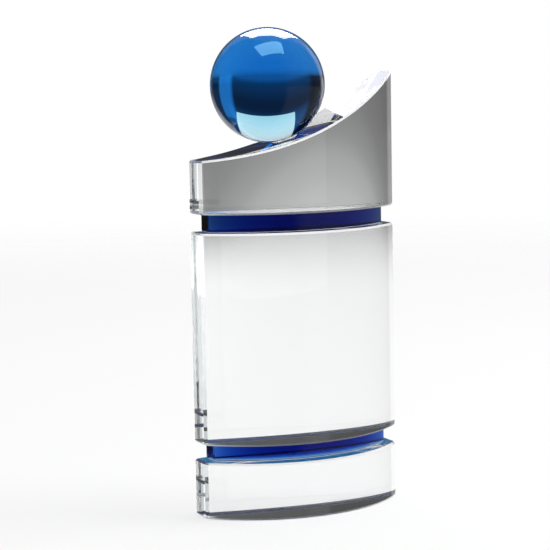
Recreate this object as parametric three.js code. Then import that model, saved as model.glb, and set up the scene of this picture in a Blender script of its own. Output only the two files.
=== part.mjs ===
// Crystal award: a clear base, panel and ski-slope block, held apart by two blue glass spacers,
// with a blue crystal ball bonded on the slope. Millimetres, +Z up, +Y towards the flat back.
// The origin is at the middle of the footprint, on the face that the award stands on.
// Heights are multiples of 1/8 mm, so faces that are bonded together meet exactly.

import * as THREE from 'three';

// Driving dimensions: plan of the clear blocks, flat behind and bowed in front
const blockWidth = 114.75;
const blockEndDepth = 15;
const blockBowRise = 24.5;
const blockChamfer = 1;
const blockCornerCut = 1.5;

// Plan of the blue spacers, set in from the blocks
const spacerEndInset = 5.75;
const spacerBackInset = 2.5;
const spacerEndDepth = 10;
const spacerBowRise = 19;
const spacerChamfer = 0.5;
const spacerCornerCut = 0.75;

// Heights, from the bottom up
const baseHeight = 30.375;
const lowerSpacerHeight = 8.875;
const panelHeight = 112.25;
const upperSpacerHeight = 9.375;
const slopeLowHeight = 28;
const bondThickness = 0.125;

// The slope's top: one curve from its low end to its tip
const slopeRise = 45.125;
const slopeStartAngle = THREE.MathUtils.degToRad(7.25);
const slopeEndAngle = THREE.MathUtils.degToRad(33);
const slopeStartReach = 43;
const slopeEndReach = 51;

// The ball, with a small flat ground under it where it is bonded to the slope
const ballRadius = 30;
const ballFlatRadius = 7.5;
const ballContactX = -10;
const ballBondRadius = 6.75;
const ballBondThickness = 0.2;
const ballBondGap = 0.25;

// Facets
const bowSteps = 48;
const ballSides = 56;
const ballRings = 26;

const blockBackY = (blockEndDepth + blockBowRise) / 2;

const clearCrystal = { color: 0xe4eaec, roughness: 0.03, metalness: 0 };
const spacerBlue = { color: 0x1c3a9c, roughness: 0.05, metalness: 0 };
const ballBlue = { color: 0x0872bf, roughness: 0.03, metalness: 0 };
const clearAdhesive = { color: 0xd6e0e4, roughness: 0.2, metalness: 0 };

const award = new THREE.Group();

// A plan with a flat back at backY, two short ends and a front bowed on one arc
function bowedPlan(width, endDepth, bowRise, backY, cornerCut) {
  const halfWidth = width / 2;
  const bowRadius = (halfWidth ** 2 + bowRise ** 2) / (2 * bowRise);
  const bowCentreY = backY - endDepth - bowRise + bowRadius;
  return { halfWidth, backY, bowRadius, bowCentreY, cornerCut };
}

// The plan's outline moved inwards, as a front chain and a back chain that both run from left to right
function outlineChains(plan, inset) {
  const halfWidth = plan.halfWidth - inset;
  const backY = plan.backY - inset;
  const radius = plan.bowRadius - inset;
  const cut = plan.cornerCut - inset * (2 - Math.SQRT2);
  const cornerAngle = Math.asin(halfWidth / radius);
  const bowAngle = cornerAngle - cut / radius;
  const endFrontY = plan.bowCentreY - radius * Math.cos(cornerAngle) + cut;
  const front = [new THREE.Vector2(-halfWidth, endFrontY)];
  const back = [new THREE.Vector2(-halfWidth, backY - cut)];
  for (let step = 0; step <= bowSteps; step++) {
    const angle = bowAngle * (2 * step / bowSteps - 1);
    const x = radius * Math.sin(angle);
    const atEnd = step === 0 || step === bowSteps;
    front.push(new THREE.Vector2(x, plan.bowCentreY - radius * Math.cos(angle)));
    back.push(new THREE.Vector2(atEnd ? Math.sign(x) * (halfWidth - cut) : x, backY));
  }
  front.push(new THREE.Vector2(halfWidth, endFrontY));
  back.push(new THREE.Vector2(halfWidth, backY - cut));
  return { front, back };
}

// A closed solid through outlines of one plan, each with its own inset and height over x
function layeredSolid(plan, layers) {
  const positions = [];
  const triangles = [];
  for (const { inset, height } of layers) {
    const { front, back } = outlineChains(plan, inset);
    for (const { x, y } of [...front, ...back.reverse()]) {
      positions.push(x, y, height(x));
    }
  }
  const ringSize = positions.length / 3 / layers.length;
  for (let layer = 1; layer < layers.length; layer++) {
    const lower = (layer - 1) * ringSize;
    const upper = layer * ringSize;
    for (let here = 0; here < ringSize; here++) {
      const next = (here + 1) % ringSize;
      triangles.push(lower + here, lower + next, upper + next);
      triangles.push(lower + here, upper + next, upper + here);
    }
  }
  const top = (layers.length - 1) * ringSize;
  for (let front = 0; front < ringSize / 2 - 1; front++) {
    const back = ringSize - 1 - front;
    triangles.push(top + front, top + front + 1, top + back - 1);
    triangles.push(top + front, top + back - 1, top + back);
    triangles.push(front, back - 1, front + 1);
    triangles.push(front, back, back - 1);
  }
  const geometry = new THREE.BufferGeometry();
  geometry.setAttribute('position', new THREE.Float32BufferAttribute(positions, 3));
  geometry.setIndex(triangles);
  geometry.computeVertexNormals();
  return geometry;
}

// A block with its bottom at z = 0, every edge chamfered, and a top that may change height over x
function chamferedBlock(plan, chamfer, topHeight) {
  return layeredSolid(plan, [
    { inset: chamfer, height: () => 0 },
    { inset: 0, height: () => chamfer },
    { inset: 0, height: (x) => topHeight(x) - chamfer },
    { inset: chamfer, height: topHeight },
  ]);
}

function flatBlock(plan, chamfer, height) {
  return chamferedBlock(plan, chamfer, () => height);
}

// The thin layer of cured adhesive between a block and the flat of a spacer
function bondLayer() {
  return layeredSolid(spacerPlan, [
    { inset: spacerChamfer, height: () => 0 },
    { inset: spacerChamfer, height: () => bondThickness },
  ]);
}

// The slope's top curve, in the block's own x and z
const slopeCurve = new THREE.CubicBezierCurve(
  new THREE.Vector2(-blockWidth / 2, slopeLowHeight),
  new THREE.Vector2(
    -blockWidth / 2 + slopeStartReach * Math.cos(slopeStartAngle),
    slopeLowHeight + slopeStartReach * Math.sin(slopeStartAngle),
  ),
  new THREE.Vector2(
    blockWidth / 2 - slopeEndReach * Math.cos(slopeEndAngle),
    slopeLowHeight + slopeRise - slopeEndReach * Math.sin(slopeEndAngle),
  ),
  new THREE.Vector2(blockWidth / 2, slopeLowHeight + slopeRise),
);

// Where along the slope's curve a given x lies, found by halving
function slopeParameter(x) {
  let low = 0;
  let high = 1;
  for (let halving = 0; halving < 40; halving++) {
    const middle = (low + high) / 2;
    if (slopeCurve.getPoint(middle).x < x) {
      low = middle;
    } else {
      high = middle;
    }
  }
  return (low + high) / 2;
}

function slopeHeight(x) {
  return slopeCurve.getPoint(slopeParameter(x)).y;
}

// The ball about its own centre, with its ground flat facing down
function groundBall() {
  const flatAngle = Math.asin(ballFlatRadius / ballRadius);
  const profile = [new THREE.Vector2(0, -ballRadius * Math.cos(flatAngle))];
  for (let ring = 0; ring < ballRings; ring++) {
    const angle = flatAngle + (Math.PI - flatAngle) * ring / ballRings;
    profile.push(new THREE.Vector2(ballRadius * Math.sin(angle), -ballRadius * Math.cos(angle)));
  }
  profile.push(new THREE.Vector2(0, ballRadius));
  return new THREE.LatheGeometry(profile, ballSides).rotateX(Math.PI / 2);
}

function addPiece(parent, name, geometry, finish, z) {
  const piece = new THREE.Mesh(geometry, new THREE.MeshStandardMaterial(finish));
  piece.name = name;
  piece.position.z = z;
  parent.add(piece);
}

const blockPlan = bowedPlan(blockWidth, blockEndDepth, blockBowRise, blockBackY, blockCornerCut);
const spacerPlan = bowedPlan(
  blockWidth - 2 * spacerEndInset,
  spacerEndDepth,
  spacerBowRise,
  blockBackY - spacerBackInset,
  spacerCornerCut,
);

// The column, each piece standing on the one below
const slopeBlock = chamferedBlock(blockPlan, blockChamfer, slopeHeight);
const column = [
  ['base_block', flatBlock(blockPlan, blockChamfer, baseHeight), clearCrystal, baseHeight],
  ['base_bond', bondLayer(), clearAdhesive, bondThickness],
  ['lower_spacer', flatBlock(spacerPlan, spacerChamfer, lowerSpacerHeight), spacerBlue, lowerSpacerHeight],
  ['panel_lower_bond', bondLayer(), clearAdhesive, bondThickness],
  ['panel_block', flatBlock(blockPlan, blockChamfer, panelHeight), clearCrystal, panelHeight],
  ['panel_upper_bond', bondLayer(), clearAdhesive, bondThickness],
  ['upper_spacer', flatBlock(spacerPlan, spacerChamfer, upperSpacerHeight), spacerBlue, upperSpacerHeight],
  ['slope_bond', bondLayer(), clearAdhesive, bondThickness],
  ['slope_block', slopeBlock, clearCrystal, 0],
];
let level = 0;
for (const [name, geometry, finish, height] of column) {
  addPiece(award, name, geometry, finish, level);
  level += height;
}

// The ball and its bond sit square to the slope where they touch it
const contactTangent = slopeCurve.getTangent(slopeParameter(ballContactX));
const ballSeat = new THREE.Group();
ballSeat.position.set(ballContactX, 0, level + slopeHeight(ballContactX));
ballSeat.rotation.y = -Math.atan2(contactTangent.y, contactTangent.x);
award.add(ballSeat);

const ballBond = new THREE.CylinderGeometry(ballBondRadius, ballBondRadius, ballBondThickness, 40);
ballBond.rotateX(Math.PI / 2);
addPiece(ballSeat, 'ball_bond', ballBond, clearAdhesive, ballBondGap + ballBondThickness / 2);

const ballFlatDrop = Math.sqrt(ballRadius ** 2 - ballFlatRadius ** 2);
const ballLift = 2 * ballBondGap + ballBondThickness + ballFlatDrop;
addPiece(ballSeat, 'crystal_ball', groundBall(), ballBlue, ballLift);

export default award;
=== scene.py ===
"""Crystal award: clear bow-front blocks on blue glass spacers, with a blue ball on a ski-slope top.

Metres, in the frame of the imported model: +Z up, +Y towards the award's flat back. Azimuths run
from +Y towards +X, as seen from above.
"""
import math

import bmesh
import bpy
from mathutils import Matrix, Vector


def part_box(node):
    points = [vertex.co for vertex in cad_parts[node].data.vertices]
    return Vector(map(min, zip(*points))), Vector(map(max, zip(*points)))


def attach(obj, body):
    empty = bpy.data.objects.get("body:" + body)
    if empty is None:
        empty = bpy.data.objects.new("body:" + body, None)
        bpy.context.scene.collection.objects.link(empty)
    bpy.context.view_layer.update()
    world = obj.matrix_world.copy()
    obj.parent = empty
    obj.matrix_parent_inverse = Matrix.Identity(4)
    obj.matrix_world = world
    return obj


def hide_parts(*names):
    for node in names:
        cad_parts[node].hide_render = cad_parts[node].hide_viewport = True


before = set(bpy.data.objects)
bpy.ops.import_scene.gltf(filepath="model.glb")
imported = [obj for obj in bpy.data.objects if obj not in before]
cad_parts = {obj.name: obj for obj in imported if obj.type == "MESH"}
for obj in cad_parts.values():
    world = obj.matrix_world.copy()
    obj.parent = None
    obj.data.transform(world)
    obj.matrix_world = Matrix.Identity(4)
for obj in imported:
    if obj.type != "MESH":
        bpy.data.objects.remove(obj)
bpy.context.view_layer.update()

MM = 0.001

# Plans of the clear blocks and of the blue spacers, as built
BLOCK_END_DEPTH = 15 * MM
BLOCK_CHAMFER = 1 * MM
BLOCK_CORNER_CUT = 1.5 * MM
SPACER_END_DEPTH = 10 * MM
SPACER_CHAMFER = 0.5 * MM
SPACER_CORNER_CUT = 0.75 * MM
BOW_STEPS = 160
EDGE_SOFTENING = 0.1 * MM

# The slope's top curve
SLOPE_LOW_HEIGHT = 28 * MM
SLOPE_RISE = 45.125 * MM
SLOPE_START_ANGLE = math.radians(7.25)
SLOPE_END_ANGLE = math.radians(33)
SLOPE_START_REACH = 43 * MM
SLOPE_END_REACH = 51 * MM
SLOPE_STEPS = 400

# The ball and the flat ground under it
BALL_FLAT_RADIUS = 7.5 * MM
BALL_CONTACT_X = -10 * MM
BALL_SEGMENTS = 192

# The bead of adhesive under the ball, and how far it stands above the middle of its gap
BEAD_RADIUS = 6.9 * MM
BEAD_THICKNESS = 0.52 * MM
BEAD_LIFT = 0.04 * MM
BEAD_STEPS = 6

# Air left between a film's faces and the glass, so that no two surfaces lie in one place
BOND_AIR = 0.02 * MM

# Optics: refractive indices, and what each glass takes off per metre, in red, green and blue
CRYSTAL_IOR = 1.52
BLUE_IOR = 1.51
ADHESIVE_IOR = 1.503
CRYSTAL_ABSORPTION = (0.9, 0.7, 0.7)
SPACER_ABSORPTION = (300, 180, 62)
BALL_ABSORPTION = (84, 32, 9.5)
CHAMFER_ROUGHNESS = 0.3
POLISH_HAZE = 0.02

# Camera
CAMERA_AZIMUTH = math.radians(25.73)
CAMERA_PITCH = math.radians(6.47)
CAMERA_ROLL = math.radians(1.03)
CAMERA_DISTANCE = 1.026
CAMERA_TARGET = Vector((-0.0112, 0.0122, 0.1265))
CAMERA_LENS = 125.4
CAMERA_SENSOR = 36

# The paper floor: where it fades out, and its colour under the base, a painted blue light and shade
# that stands in for the light that comes through the spacers
FLOOR_RADIUS = 4.0
FLOOR_LEVEL = -0.2 * MM
FLOOR_FADE_START = 0.9
FLOOR_FADE_END = 2.0
FLOOR_WHITE = (0.8, 0.8, 0.8, 1)
PAINTED_SPACER_LIGHT = (0.06, 0.28, 0.6, 1)
# how far inside the base's outline the painted blue light and shade is full, and where it ends
PAINTED_LIGHT_FULL_INSET = 4 * MM
PAINTED_LIGHT_END_INSET = 0.5 * MM

# The studio that the glass mirrors and refracts, in zones around the award. For each one: its
# azimuth, how many degrees to both sides it is full and where it ends, its strength outside and
# its grey levels by elevation in degrees. The backdrop's levels also drop away to both sides.
BACKDROP_AZIMUTH = 24
BACKDROP_REACH = (31, 39)
BACKDROP_OUTSIDE = 0.02
BACKDROP_DROP = 0.65
BACKDROP_STOPS = (
    (-12, 0.9), (-8, 0.55), (-5.4, 0.50), (-4.1, 0.47), (-3.5, 0.41), (-2.9, 0.37), (-2.3, 0.29),
    (-0.8, 0.2), (1.5, 0.16), (6, 0.11), (12, 0.055), (18, 0.06), (28, 0.3),
)
TABLE_AZIMUTH = 110
TABLE_REACH = (48, 62)
TABLE_OUTSIDE = 0.2
TABLE_STOPS = ((-14, 0.25), (-4, 0.25), (-2, 0.1), (28, 0.1))
CARD_AZIMUTH = 62
CARD_REACH = (6, 11)
CARD_STOPS = ((-25, 0.75), (26, 0.7), (29, 0.2))
# The grey levels run over sines of the elevation, from minus this to plus this
RAMP_REACH = 0.5

# The two side softboxes
SIDE_AZIMUTH = 88
SIDE_WIDTH = 0.85
SIDE_HEIGHT = 0.9
SIDE_DISTANCE = 0.9

award = bpy.data.collections.new("award")
bpy.context.scene.collection.children.link(award)


# ---------------------------------------------------------------- nodes

def new_material(name):
    material = bpy.data.materials.new(name)
    material.use_nodes = True
    material.node_tree.nodes.clear()
    return material, material.node_tree


def add_node(tree, kind, **inputs):
    """Adds a node and sets its inputs by name, with spaces written as underscores."""
    node = tree.nodes.new(kind)
    for name, value in inputs.items():
        node.inputs[name.replace("_", " ")].default_value = value
    return node


def combine(tree, kind, operation, *operands):
    """Adds a math node whose operands are each a value or the output of another node."""
    node = add_node(tree, kind)
    node.operation = operation
    for socket, operand in zip(node.inputs, operands):
        if isinstance(operand, bpy.types.NodeSocket):
            tree.links.new(operand, socket)
        else:
            socket.default_value = operand
    return node


def scalar(tree, operation, *operands):
    """The result of a math node on numbers."""
    return combine(tree, "ShaderNodeMath", operation, *operands).outputs["Value"]


def vector(tree, operation, *operands):
    """The result of a math node on vectors, which is a number for some operations."""
    node = combine(tree, "ShaderNodeVectorMath", operation, *operands)
    is_number = operation in ("DISTANCE", "LENGTH", "DOT_PRODUCT")
    return node.outputs["Value" if is_number else "Vector"]


def face_mark(tree, name):
    """The mark, 0 or 1, that mark() left on each face."""
    attribute = add_node(tree, "ShaderNodeAttribute")
    attribute.attribute_name = name
    return attribute.outputs["Fac"]


def mix_shaders(tree, factor, first, second):
    mix = add_node(tree, "ShaderNodeMixShader")
    for socket, source in zip(mix.inputs, (factor, first, second)):
        tree.links.new(source, socket)
    return mix.outputs["Shader"]


def glass_surface(tree, ior):
    glass = add_node(tree, "ShaderNodeBsdfPrincipled", IOR=ior, Transmission_Weight=1.0)
    glass.inputs["Base Color"].default_value = (1, 1, 1, 1)
    return glass


def glass_material(name, ior, absorption, patch=None):
    """Solid glass, polished where it meets air and wetted where its faces are bonded.

    absorption is what the glass takes off per metre, in red, green and blue. patch is the middle
    and the radius of one more round bonded spot.
    """
    material, tree = new_material(name)
    output = add_node(tree, "ShaderNodeOutputMaterial")
    polished = glass_surface(tree, ior)
    wetted = glass_surface(tree, ior / ADHESIVE_IOR)
    wetted.inputs["Roughness"].default_value = 0.0
    place = add_node(tree, "ShaderNodeTexCoord").outputs["Object"]
    bonded = face_mark(tree, "bonded")
    if patch is not None:
        middle, radius = patch
        in_spot = scalar(tree, "LESS_THAN", vector(tree, "DISTANCE", place, middle), radius)
        bonded = scalar(tree, "MAXIMUM", bonded, in_spot)
    surface = mix_shaders(tree, bonded, polished.outputs["BSDF"], wetted.outputs["BSDF"])
    tree.links.new(surface, output.inputs["Surface"])

    # faint smears on the polish, and a coarser finish on the ground chamfers
    smears = add_node(tree, "ShaderNodeTexNoise", Scale=60.0, Detail=3.0, Roughness=0.6)
    tree.links.new(place, smears.inputs["Vector"])
    haze = add_node(tree, "ShaderNodeMapRange", From_Min=0.35, From_Max=0.75, To_Max=POLISH_HAZE)
    tree.links.new(smears.outputs["Fac"], haze.inputs["Value"])
    finish = scalar(
        tree, "MULTIPLY_ADD", face_mark(tree, "ground"), CHAMFER_ROUGHNESS, haze.outputs["Result"],
    )
    tree.links.new(finish, polished.inputs["Roughness"])

    ripple = add_node(tree, "ShaderNodeTexNoise", Scale=25.0, Detail=1.0)
    tree.links.new(place, ripple.inputs["Vector"])
    bump = add_node(tree, "ShaderNodeBump", Strength=0.02, Distance=0.0002)
    tree.links.new(ripple.outputs["Fac"], bump.inputs["Height"])
    tree.links.new(bump.outputs["Normal"], polished.inputs["Normal"])

    # the node takes off density times what its colour lacks, so density tops every absorption
    density = max(absorption) * 1.1
    volume = add_node(tree, "ShaderNodeVolumeAbsorption", Density=density)
    volume.inputs["Color"].default_value = (*(1 - one / density for one in absorption), 1)
    tree.links.new(volume.outputs["Volume"], output.inputs["Volume"])
    return material


def adhesive_material(name):
    """Cured clear adhesive: only its edge shows, because its faces are wetted onto the glass."""
    material, tree = new_material(name)
    output = add_node(tree, "ShaderNodeOutputMaterial")
    edge = glass_surface(tree, ADHESIVE_IOR)
    place = add_node(tree, "ShaderNodeTexCoord").outputs["Object"]
    beads = add_node(tree, "ShaderNodeTexNoise", Scale=400.0, Detail=2.0)
    tree.links.new(place, beads.inputs["Vector"])
    roughness = add_node(tree, "ShaderNodeMapRange", To_Min=0.02, To_Max=0.2)
    tree.links.new(beads.outputs["Fac"], roughness.inputs["Value"])
    tree.links.new(roughness.outputs["Result"], edge.inputs["Roughness"])
    bump = add_node(tree, "ShaderNodeBump", Strength=0.3, Distance=0.00005)
    tree.links.new(beads.outputs["Fac"], bump.inputs["Height"])
    tree.links.new(bump.outputs["Normal"], edge.inputs["Normal"])
    wetted = add_node(tree, "ShaderNodeBsdfTransparent")
    surface = mix_shaders(
        tree, face_mark(tree, "bonded"), edge.outputs["BSDF"], wetted.outputs["BSDF"],
    )
    tree.links.new(surface, output.inputs["Surface"])
    return material


# ---------------------------------------------------------------- meshes

class BowedPlan:
    """The plan of a CAD node with a flat back, two short ends and a front bowed on one arc."""

    def __init__(self, node, end_depth, corner_cut):
        low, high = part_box(node)
        self.half_width = high[0]
        self.back = high[1]
        self.corner_cut = corner_cut
        rise = self.back - end_depth - low[1]
        self.radius = (self.half_width ** 2 + rise ** 2) / (2 * rise)
        self.centre = low[1] + self.radius

    def ring(self, inset):
        """The outline moved inwards by inset, counter-clockwise from its front left corner."""
        half_width = self.half_width - inset
        back_y = self.back - inset
        radius = self.radius - inset
        cut = self.corner_cut - inset * (2 - math.sqrt(2))
        corner = math.asin(half_width / radius)
        reach = corner - cut / radius
        end_y = self.centre - radius * math.cos(corner) + cut
        front, back = [(-half_width, end_y)], [(-half_width, back_y - cut)]
        for step in range(BOW_STEPS + 1):
            angle = reach * (2 * step / BOW_STEPS - 1)
            x = radius * math.sin(angle)
            front.append((x, self.centre - radius * math.cos(angle)))
            at_end = step in (0, BOW_STEPS)
            back.append((math.copysign(half_width - cut, x) if at_end else x, back_y))
        front.append((half_width, end_y))
        back.append((half_width, back_y - cut))
        return front + back[::-1]


def new_mesh():
    """An empty mesh whose faces can be marked as bonded to a neighbour or as ground chamfers."""
    mesh = bmesh.new()
    mesh.faces.layers.float.new("bonded")
    mesh.faces.layers.float.new("ground")
    return mesh


def mark(mesh, faces, finish):
    layer = mesh.faces.layers.float[finish]
    for face in faces:
        face[layer] = 1


def join_rings(mesh, lower, upper):
    """Joins two rings with a band of faces, and returns the band."""
    band = []
    for here in range(len(lower)):
        following = (here + 1) % len(lower)
        corners = (lower[here], lower[following], upper[following], upper[here])
        band.append(mesh.faces.new(corners))
    return band


def cap_ring(mesh, ring, facing_up):
    """Closes a ring with strips that run from its front to its back, and returns them."""
    strips = []
    for front in range(len(ring) // 2 - 1):
        back = len(ring) - 1 - front
        corners = (ring[front], ring[front + 1], ring[back - 1], ring[back])
        strips.append(mesh.faces.new(corners if facing_up else corners[::-1]))
    return strips


def close_flat(mesh, ring, bond, facing_up):
    """Closes a flat end. bond, if there is one, is the outline of its bonded part."""
    if bond is None:
        cap_ring(mesh, ring, facing_up)
        return
    inner = [mesh.verts.new((x, y, ring[0].co.z)) for x, y in bond]
    if facing_up:
        join_rings(mesh, ring, inner)
    else:
        join_rings(mesh, inner, ring)
    mark(mesh, cap_ring(mesh, inner, facing_up), "bonded")


def block_mesh(plan, chamfer, low, top, bond_below=None, bond_above=None):
    """A chamfered block from height low up to top, a function of x."""
    mesh = new_mesh()
    layers = (
        (chamfer, lambda x: low),
        (0, lambda x: low + chamfer),
        (0, lambda x: top(x) - chamfer),
        (chamfer, top),
    )
    rings = []
    for inset, height in layers:
        rings.append([mesh.verts.new((x, y, height(x))) for x, y in plan.ring(inset)])
    bands = [join_rings(mesh, lower, upper) for lower, upper in zip(rings, rings[1:])]
    mark(mesh, bands[0] + bands[-1], "ground")
    close_flat(mesh, rings[0], bond_below, facing_up=False)
    close_flat(mesh, rings[-1], bond_above, facing_up=True)
    return mesh


def add_piece(name, mesh, node, material):
    """Makes an object that stands for a CAD node and rides with the award."""
    data = bpy.data.meshes.new(name)
    mesh.to_mesh(data)
    mesh.free()
    data.materials.append(material)
    piece = bpy.data.objects.new(name, data)
    award.objects.link(piece)
    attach(piece, "root")
    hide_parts(node)
    return piece


def soften(piece, angle=10):
    """Rounds the edges sharper than angle, in degrees, a little and shades the rest smooth."""
    for polygon in piece.data.polygons:
        polygon.use_smooth = True
    bevel = piece.modifiers.new("softened_edges", "BEVEL")
    bevel.width = EDGE_SOFTENING
    bevel.segments = 3
    bevel.limit_method = "ANGLE"
    bevel.angle_limit = math.radians(angle)
    bevel.harden_normals = True


def slope_points(block_low, block_high):
    """Points of the slope's top curve, as (x, z) vectors from left to right."""
    start = Vector((block_low[0], block_low[2] + SLOPE_LOW_HEIGHT))
    end = Vector((block_high[0], start.y + SLOPE_RISE))
    start_turn = Vector((math.cos(SLOPE_START_ANGLE), math.sin(SLOPE_START_ANGLE)))
    end_turn = Vector((math.cos(SLOPE_END_ANGLE), math.sin(SLOPE_END_ANGLE)))
    leave = start + start_turn * SLOPE_START_REACH
    arrive = end - end_turn * SLOPE_END_REACH
    points = []
    for step in range(SLOPE_STEPS + 1):
        t = step / SLOPE_STEPS
        u = 1 - t
        points.append(
            u ** 3 * start + 3 * u * u * t * leave + 3 * u * t * t * arrive + t ** 3 * end
        )
    return points


def height_at(points, x):
    """The height and the slope angle of a curve at x."""
    for left, right in zip(points, points[1:]):
        if x <= right.x or right is points[-1]:
            run = right - left
            return left.y + run.y * (x - left.x) / run.x, math.atan2(run.y, run.x)


# ---------------------------------------------------------------- camera

def add_camera():
    data = bpy.data.cameras.new("camera")
    data.lens = CAMERA_LENS
    data.sensor_width = CAMERA_SENSOR
    camera = bpy.data.objects.new("camera", data)
    bpy.context.scene.collection.objects.link(camera)
    toward = Vector((
        math.sin(CAMERA_AZIMUTH) * math.cos(CAMERA_PITCH),
        math.cos(CAMERA_AZIMUTH) * math.cos(CAMERA_PITCH),
        -math.sin(CAMERA_PITCH),
    ))
    right = Vector((math.cos(CAMERA_AZIMUTH), -math.sin(CAMERA_AZIMUTH), 0))
    up = right.cross(toward)
    rolled_right = right * math.cos(CAMERA_ROLL) - up * math.sin(CAMERA_ROLL)
    rolled_up = right * math.sin(CAMERA_ROLL) + up * math.cos(CAMERA_ROLL)
    turn = Matrix((rolled_right, rolled_up, -toward)).transposed().to_4x4()
    camera.matrix_world = Matrix.Translation(CAMERA_TARGET - toward * CAMERA_DISTANCE) @ turn
    bpy.context.scene.camera = camera


add_camera()


# ---------------------------------------------------------------- pieces

slope_line = slope_points(*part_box("slope_block"))
contact_height, contact_tilt = height_at(slope_line, BALL_CONTACT_X)
bead_low, bead_high = (Vector(corner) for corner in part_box("ball_bond"))
bead_centre = (bead_low + bead_high) / 2
contact = (BALL_CONTACT_X, bead_centre.y, contact_height)

crystal = glass_material(
    "polished_crystal", CRYSTAL_IOR, CRYSTAL_ABSORPTION, patch=(contact, BEAD_RADIUS),
)
spacer_blue = glass_material("deep_blue_glass", BLUE_IOR, SPACER_ABSORPTION)
adhesive = adhesive_material("cured_adhesive")
ball_blue = glass_material("ball_blue_crystal", BLUE_IOR, BALL_ABSORPTION)

block_plan = BowedPlan("base_block", BLOCK_END_DEPTH, BLOCK_CORNER_CUT)
spacer_plan = BowedPlan("lower_spacer", SPACER_END_DEPTH, SPACER_CORNER_CUT)
bond_outline = spacer_plan.ring(SPACER_CHAMFER)


def clear_block(node, bond_below, bond_above, top=None):
    """A clear block, flat on top unless top gives its height over x."""
    low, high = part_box(node)
    top = top or (lambda x: high[2])
    mesh = block_mesh(block_plan, BLOCK_CHAMFER, low[2], top, bond_below, bond_above)
    piece = add_piece(node + "_glass", mesh, node, crystal)
    soften(piece)
    return piece


def spacer(node):
    low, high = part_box(node)
    mesh = block_mesh(spacer_plan, SPACER_CHAMFER, low[2], lambda x: high[2])
    # the heights of the two flats, as the mesh rounds them
    levels = [vertex.co.z for vertex in mesh.verts]
    flat_levels = (min(levels), max(levels))
    flats = [
        face for face in mesh.faces
        if all(vertex.co.z in flat_levels for vertex in face.verts)
    ]
    mark(mesh, flats, "bonded")
    soften(add_piece(node + "_glass", mesh, node, spacer_blue))


def crystal_ball():
    low, high = (Vector(corner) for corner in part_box("crystal_ball"))
    radius = (high.x - low.x) / 2
    centre = Vector(((low.x + high.x) / 2, (low.y + high.y) / 2, high.z - radius))
    mesh = new_mesh()
    bmesh.ops.create_uvsphere(
        mesh, u_segments=BALL_SEGMENTS, v_segments=BALL_SEGMENTS // 2, radius=radius,
    )
    flat_drop = math.sqrt(radius ** 2 - BALL_FLAT_RADIUS ** 2)
    cut = bmesh.ops.bisect_plane(
        mesh, geom=mesh.verts[:] + mesh.edges[:] + mesh.faces[:],
        plane_co=(0, 0, -flat_drop), plane_no=(0, 0, -1), clear_outer=True,
    )
    rim = [one for one in cut["geom_cut"] if isinstance(one, bmesh.types.BMEdge)]
    mark(mesh, bmesh.ops.contextual_create(mesh, geom=rim)["faces"], "bonded")
    mesh.transform(Matrix.Translation(centre) @ Matrix.Rotation(-contact_tilt, 4, "Y"))
    piece = add_piece("crystal_ball_glass", mesh, "crystal_ball", ball_blue)
    soften(piece, angle=20)
    return piece


def adhesive_film(node):
    low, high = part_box(node)
    outline = spacer_plan.ring(spacer_plan.half_width - high[0])
    mesh = new_mesh()
    levels = (low[2] + BOND_AIR, high[2] - BOND_AIR)
    lower, upper = ([mesh.verts.new((x, y, level)) for x, y in outline] for level in levels)
    join_rings(mesh, lower, upper)
    mark(mesh, cap_ring(mesh, lower, False) + cap_ring(mesh, upper, True), "bonded")
    add_piece(node + "_film", mesh, node, adhesive)


def adhesive_bead():
    """The bead under the ball, with a rim that bulges a little."""
    mesh = new_mesh()
    turns = [2 * math.pi * one / BALL_SEGMENTS for one in range(BALL_SEGMENTS)]
    rings = []
    for step in range(BEAD_STEPS + 1):
        share = 2 * step / BEAD_STEPS - 1
        radius = BEAD_RADIUS - BEAD_THICKNESS / 2 * (1 - math.sqrt(1 - share * share))
        level = BEAD_LIFT + share * BEAD_THICKNESS / 2
        rings.append([
            mesh.verts.new((radius * math.cos(turn), radius * math.sin(turn), level))
            for turn in turns
        ])
    for lower, upper in zip(rings, rings[1:]):
        join_rings(mesh, lower, upper)
    mark(mesh, [mesh.faces.new(rings[0][::-1]), mesh.faces.new(rings[-1])], "bonded")
    mesh.transform(Matrix.Translation(bead_centre) @ Matrix.Rotation(-contact_tilt, 4, "Y"))
    add_piece("ball_bond_bead", mesh, "ball_bond", adhesive)


base = clear_block("base_block", None, bond_outline)
spacer("lower_spacer")
panel = clear_block("panel_block", bond_outline, bond_outline)
spacer("upper_spacer")
slope = clear_block("slope_block", bond_outline, None, top=lambda x: height_at(slope_line, x)[0])
ball = crystal_ball()

for film_node in ("base_bond", "panel_lower_bond", "panel_upper_bond", "slope_bond"):
    adhesive_film(film_node)
adhesive_bead()


# ---------------------------------------------------------------- stage

def painted_light_under_base(tree, position):
    """Where the painted blue light and shade lie: 1 on the floor under the base block, falling to 0
    at the block's outline.
    """
    place = add_node(tree, "ShaderNodeSeparateXYZ")
    tree.links.new(position, place.inputs["Vector"])
    limits = (
        (vector(tree, "DISTANCE", position, (0, block_plan.centre, 0)), block_plan.radius),
        (place.outputs["Y"], block_plan.back),
        (scalar(tree, "ABSOLUTE", place.outputs["X"]), block_plan.half_width),
    )
    painted_light_mask = None
    for value, limit in limits:
        inside = add_node(
            tree, "ShaderNodeMapRange", To_Min=1.0, To_Max=0.0,
            From_Min=limit - PAINTED_LIGHT_FULL_INSET, From_Max=limit - PAINTED_LIGHT_END_INSET,
        )
        tree.links.new(value, inside.inputs["Value"])
        if painted_light_mask is None:
            painted_light_mask = inside.outputs["Result"]
        else:
            painted_light_mask = scalar(tree, "MULTIPLY", painted_light_mask, inside.outputs["Result"])
    return painted_light_mask


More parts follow.
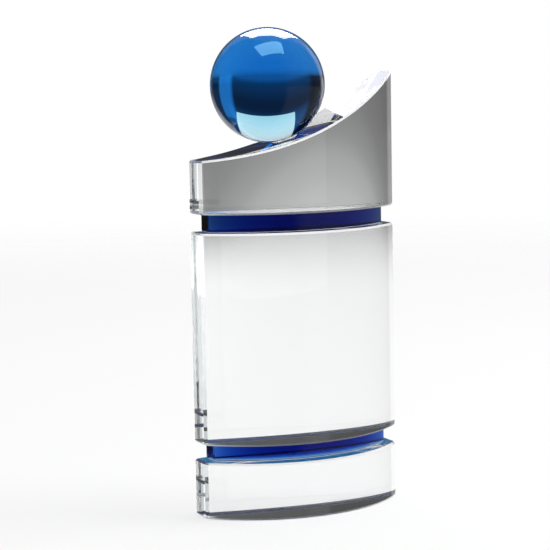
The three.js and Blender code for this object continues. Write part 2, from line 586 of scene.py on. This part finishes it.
def floor_material():
    """White paper that fades out far away, with a painted blue light and shade under the base in
    place of the light from the spacers.
    """
    material, tree = new_material("floor_paper_and_painted_light")
    output = add_node(tree, "ShaderNodeOutputMaterial")
    position = add_node(tree, "ShaderNodeNewGeometry").outputs["Position"]
    paper = add_node(tree, "ShaderNodeBsdfDiffuse")
    paper_and_painted_light = add_node(tree, "ShaderNodeMix")
    paper_and_painted_light.data_type = "RGBA"
    # a colour mix has its two colours at sockets 6 and 7 and its result at output 2
    paper_and_painted_light.inputs[6].default_value = FLOOR_WHITE
    paper_and_painted_light.inputs[7].default_value = PAINTED_SPACER_LIGHT
    # painted light and shade: the paper turns blue and darker under the base, standing in for the
    # light from the spacers
    tree.links.new(painted_light_under_base(tree, position), paper_and_painted_light.inputs["Factor"])
    tree.links.new(paper_and_painted_light.outputs[2], paper.inputs["Color"])

    fade = add_node(tree, "ShaderNodeMapRange", From_Min=FLOOR_FADE_START, From_Max=FLOOR_FADE_END)
    fade.interpolation_type = "SMOOTHSTEP"
    tree.links.new(vector(tree, "LENGTH", position), fade.inputs["Value"])
    gone = add_node(tree, "ShaderNodeBsdfTransparent")
    surface = mix_shaders(
        tree, fade.outputs["Result"], paper.outputs["BSDF"], gone.outputs["BSDF"],
    )
    tree.links.new(surface, output.inputs["Surface"])
    return material


def add_floor():
    mesh = bmesh.new()
    bmesh.ops.create_circle(mesh, cap_ends=True, segments=96, radius=FLOOR_RADIUS)
    data = bpy.data.meshes.new("floor")
    mesh.to_mesh(data)
    mesh.free()
    data.materials.append(floor_material())
    floor = bpy.data.objects.new("floor", data)
    bpy.context.scene.collection.objects.link(floor)
    floor.location.z = FLOOR_LEVEL
    floor.visible_glossy = False
    return floor


def elevation_ramp(tree, height, stops):
    """A grey level by height, the sine of the elevation. stops give elevations in degrees."""
    spread = add_node(tree, "ShaderNodeMapRange", From_Min=-RAMP_REACH, From_Max=RAMP_REACH)
    tree.links.new(height, spread.inputs["Value"])
    ramp = add_node(tree, "ShaderNodeValToRGB")
    tree.links.new(spread.outputs["Result"], ramp.inputs["Fac"])
    elements = ramp.color_ramp.elements
    while len(elements) < len(stops):
        elements.new(0.5)
    for element, (elevation, level) in zip(elements, stops):
        element.position = 0.5 + math.sin(math.radians(elevation)) / (2 * RAMP_REACH)
        element.color = (level, level, level, 1)
    return ramp.outputs["Color"]


def azimuth_cosine(tree, bearing, azimuth):
    """The cosine between a level direction and an azimuth in degrees."""
    middle = math.radians(azimuth)
    return vector(tree, "DOT_PRODUCT", bearing, (math.sin(middle), math.cos(middle), 0))


def lit_zone(tree, cosine, reach, height, stops, outside=0.0):
    """Light of elevation_ramp around the azimuth that cosine is from.

    It is full within the first angle of reach and falls to outside at the second, in degrees.
    """
    full, end = (math.cos(math.radians(angle)) for angle in reach)
    strength = add_node(tree, "ShaderNodeMapRange", From_Min=end, From_Max=full, To_Min=outside)
    strength.interpolation_type = "SMOOTHSTEP"
    tree.links.new(cosine, strength.inputs["Value"])
    zone = add_node(tree, "ShaderNodeBackground")
    tree.links.new(elevation_ramp(tree, height, stops), zone.inputs["Color"])
    tree.links.new(strength.outputs["Result"], zone.inputs["Strength"])
    return zone.outputs["Background"]


def add_shaders(tree, first, second):
    total = add_node(tree, "ShaderNodeAddShader")
    tree.links.new(first, total.inputs[0])
    tree.links.new(second, total.inputs[1])
    return total.outputs["Shader"]


def add_world():
    """Plain white to the camera, and the studio's zones to the glass."""
    studio = bpy.data.worlds.new("studio")
    bpy.context.scene.world = studio
    studio.use_nodes = True
    tree = studio.node_tree
    tree.nodes.clear()
    output = add_node(tree, "ShaderNodeOutputWorld")
    direction = add_node(tree, "ShaderNodeTexCoord").outputs["Generated"]
    parts = add_node(tree, "ShaderNodeSeparateXYZ")
    tree.links.new(direction, parts.inputs["Vector"])
    height = parts.outputs["Z"]
    bearing = vector(tree, "NORMALIZE", vector(tree, "MULTIPLY", direction, (1, 1, 0)))

    # the backdrop's levels drop away to both sides of the award
    behind = azimuth_cosine(tree, bearing, BACKDROP_AZIMUTH)
    dropped = scalar(tree, "MULTIPLY_ADD", behind, -BACKDROP_DROP, height)
    backdrop_height = scalar(tree, "ADD", dropped, BACKDROP_DROP)
    backdrop = lit_zone(
        tree, behind, BACKDROP_REACH, backdrop_height, BACKDROP_STOPS, BACKDROP_OUTSIDE,
    )
    beside = azimuth_cosine(tree, bearing, TABLE_AZIMUTH)
    table = lit_zone(tree, beside, TABLE_REACH, height, TABLE_STOPS, TABLE_OUTSIDE)
    at_card = azimuth_cosine(tree, bearing, CARD_AZIMUTH)
    card = lit_zone(tree, at_card, CARD_REACH, height, CARD_STOPS)
    zones = add_shaders(tree, add_shaders(tree, backdrop, table), card)

    white = add_node(tree, "ShaderNodeBackground")
    white.inputs["Color"].default_value = (1, 1, 1, 1)
    path = add_node(tree, "ShaderNodeLightPath")
    surface = mix_shaders(tree, path.outputs["Is Camera Ray"], zones, white.outputs["Background"])
    tree.links.new(surface, output.inputs["Surface"])


def light_group(name, objects):
    group = bpy.data.collections.new(name)
    for one in objects:
        group.objects.link(one)
    return group


def add_softbox(name, group, azimuth, elevation, distance, size, radiance, aim=(0, 0, 0.15)):
    """A softbox that faces aim and lights only group.

    radiance is how bright its face looks, where white paper is 1.
    """
    data = bpy.data.lights.new(name, "AREA")
    data.shape = "RECTANGLE"
    data.size, data.size_y = size
    data.energy = radiance * math.pi * size[0] * size[1]
    light = bpy.data.objects.new(name, data)
    turn, rise = math.radians(azimuth), math.radians(elevation)
    level = Vector((math.sin(turn), math.cos(turn), 0))
    direction = level * math.cos(rise) + Vector((0, 0, math.sin(rise)))
    light.location = Vector(aim) + direction * distance
    light.rotation_euler = direction.to_track_quat("Z", "Y").to_euler()
    light.light_linking.receiver_collection = group
    bpy.context.scene.collection.objects.link(light)
    return light


floor = add_floor()
add_world()
stage_floor = light_group("stage_floor", [floor])
ball_group = light_group("ball_group", [ball])
slope_group = light_group("slope_group", [slope])
block_group = light_group("block_group", [base, panel, slope])

# a window behind the award, seen upside down through the ball. It is warm, because the blue
# glass takes off most of its red and green
window = add_softbox(
    "window_softbox", ball_group,
    azimuth=27, elevation=49, distance=1.2, size=(1.06, 1.1), radiance=36,
)
window.data.color = (1, 0.11, 0.035)
window.visible_glossy = False
# the same window as the ball's polish mirrors it, a little nearer so that neither hides the other
rim = add_softbox(
    "rim_softbox", ball_group,
    azimuth=27, elevation=50, distance=1.15, size=(0.75, 0.7), radiance=9,
)
rim.visible_transmission = False
# the highlight on top of the ball
ceiling = add_softbox(
    "ceiling_window", ball_group,
    azimuth=185, elevation=78, distance=1.2, size=(0.9, 0.65), radiance=6, aim=(0, 0, 0.25),
)
ceiling.data.color = (0.4, 0.9, 1)
# the sheen on the slope's top
sheen = add_softbox(
    "slope_softbox", slope_group,
    azimuth=20, elevation=50, distance=1.2, size=(1.3, 1.1), radiance=3.2,
)
sheen.visible_transmission = False
# two side softboxes, edge to edge, that show only through the clear blocks
side_turn = 2 * math.degrees(math.atan(SIDE_WIDTH / 2 / SIDE_DISTANCE))
for name, turn in (("right_softbox", 0), ("front_right_softbox", side_turn)):
    side = add_softbox(
        name, block_group, azimuth=SIDE_AZIMUTH + turn, elevation=0,
        distance=SIDE_DISTANCE, size=(SIDE_WIDTH, SIDE_HEIGHT), radiance=0.65, aim=(0, 0, 0),
    )
    side.visible_camera = False
    side.visible_glossy = False
# the floor's own light: a key that casts the award's soft shadow, and a wash without shadows
add_softbox(
    "floor_key", stage_floor,
    azimuth=112, elevation=45, distance=1.6, size=(0.9, 0.9), radiance=2.2,
)
wash_data = bpy.data.lights.new("floor_wash", "SUN")
wash_data.energy = 3.1
wash_data.angle = math.radians(60)
wash = bpy.data.objects.new("floor_wash", wash_data)
bpy.context.scene.collection.objects.link(wash)
wash.light_linking.receiver_collection = stage_floor
wash.light_linking.blocker_collection = stage_floor

scene = bpy.context.scene
scene.view_settings.view_transform = "Standard"
scene.cycles.max_bounces = 24
scene.cycles.transmission_bounces = 24
scene.cycles.glossy_bounces = 12
scene.cycles.transparent_max_bounces = 16
